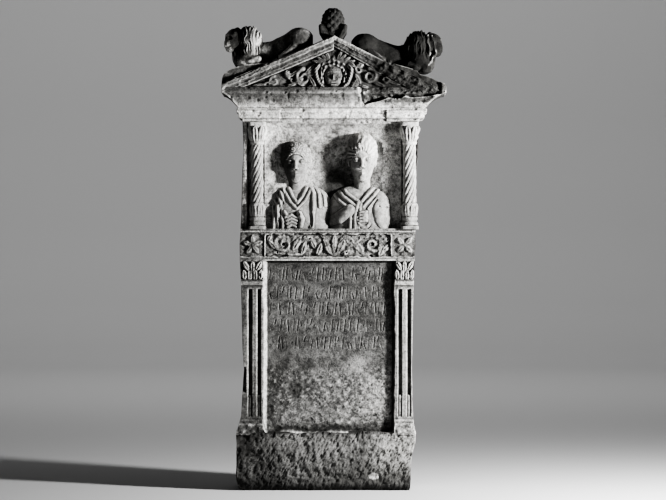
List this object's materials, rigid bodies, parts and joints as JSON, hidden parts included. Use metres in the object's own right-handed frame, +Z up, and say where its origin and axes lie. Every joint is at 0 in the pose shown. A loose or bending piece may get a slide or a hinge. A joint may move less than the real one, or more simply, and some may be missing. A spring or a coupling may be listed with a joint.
{
  "type": "carved stone stele",
  "caption": "Carved grave stele: rough socle, inscription field between fluted pilasters, frieze, niche with busts, gable with lions and pine cone.",
  "frame": {"origin": "centre of the underside, below the middle of the overall box", "axes": "+Z up, the carved front faces -Y, the flat back faces +Y, +X to the viewer's right"},
  "size_m": [0.9, 0.28, 1.94],
  "materials": {
    "stone": "weathered, tooled"
  },
  "bodies": {
    "root": {"stele": "stone"}
  },
  "joints": []
}
